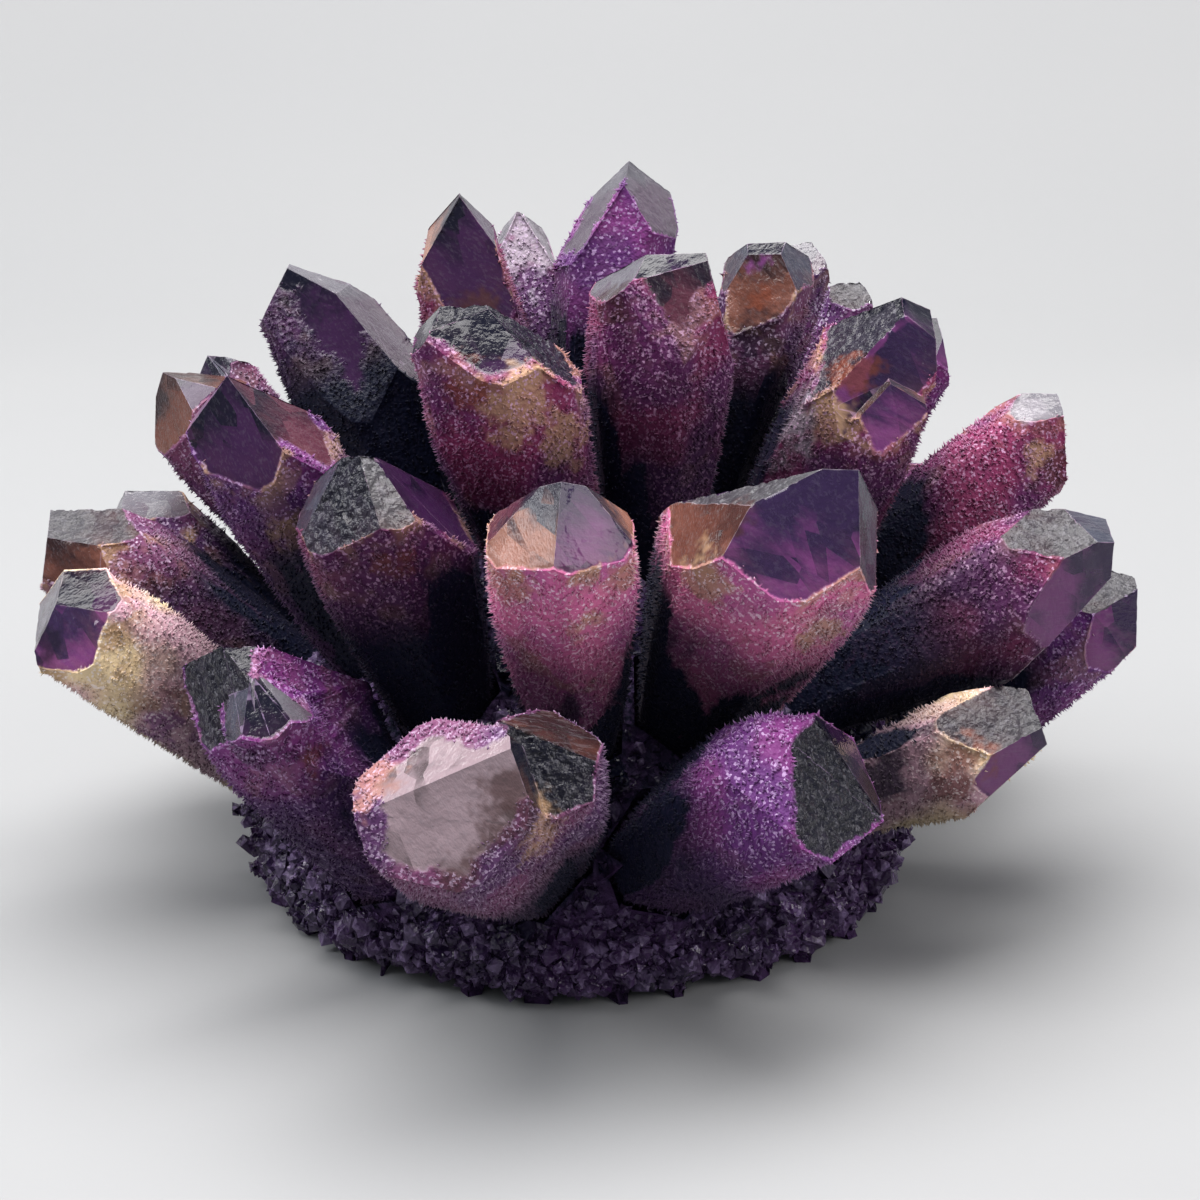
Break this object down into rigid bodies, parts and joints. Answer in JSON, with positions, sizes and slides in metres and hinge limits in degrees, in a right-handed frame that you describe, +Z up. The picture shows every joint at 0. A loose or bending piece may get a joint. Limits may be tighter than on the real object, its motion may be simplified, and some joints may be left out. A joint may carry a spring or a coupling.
{
  "type": "amethyst cluster",
  "caption": "Stout six-sided purple quartz crystals with glassy tips and druse-covered sides, fanning out of a domed matrix that rests on its flat underside as a display specimen.",
  "frame": {"origin": "under the middle of the cluster, in the plane of the flat underside that it rests on", "axes": "+X to the right and -Y towards the viewer of the picture, +Z up"},
  "size_m": [0.2002, 0.1986, 0.1279],
  "materials": {
    "violet_crystal": "purple druse below a glassy violet tip",
    "plum_crystal": "dark plum druse below a near-black glassy tip",
    "rose_crystal": "rose-purple druse with an ochre border below a violet glass tip",
    "honey_crystal": "yellow-brown and purple druse below a glassy tip",
    "smoky_crystal": "brown, smoky broken glass with a rim of lilac druse",
    "clear_crystal": "pale grey glassy tip over purple druse",
    "druse_matrix": "rough dark purple druse of small crystals"
  },
  "bodies": {
    "root": {"matrix": "druse_matrix", "crown_crystal_1": "violet_crystal", "crown_crystal_2": "plum_crystal", "crown_crystal_3": "plum_crystal", "crown_crystal_4": "smoky_crystal", "crown_crystal_5": "clear_crystal", "crown_crystal_6": "plum_crystal", "crown_crystal_7": "clear_crystal", "crown_crystal_8": "clear_crystal", "shoulder_crystal_1": "rose_crystal", "shoulder_crystal_2": "rose_crystal", "shoulder_crystal_3": "plum_crystal", "shoulder_crystal_4": "plum_crystal", "shoulder_crystal_5": "clear_crystal", "shoulder_crystal_6": "plum_crystal", "shoulder_crystal_7": "violet_crystal", "shoulder_crystal_8": "clear_crystal", "side_crystal_1": "plum_crystal", "side_crystal_2": "violet_crystal", "side_crystal_3": "honey_crystal", "side_crystal_4": "honey_crystal", "side_crystal_5": "clear_crystal", "side_crystal_6": "clear_crystal", "skirt_crystal_1": "violet_crystal", "skirt_crystal_2": "smoky_crystal", "skirt_crystal_3": "plum_crystal", "rear_crystal_1": "violet_crystal", "rear_crystal_2": "plum_crystal", "rear_crystal_3": "plum_crystal", "rear_crystal_4": "rose_crystal", "rear_crystal_5": "violet_crystal", "rear_crystal_6": "plum_crystal", "rear_crystal_7": "honey_crystal", "rear_crystal_8": "plum_crystal", "rear_crystal_9": "violet_crystal", "rear_crystal_10": "plum_crystal", "rear_crystal_11": "honey_crystal"}
  },
  "joints": []
}
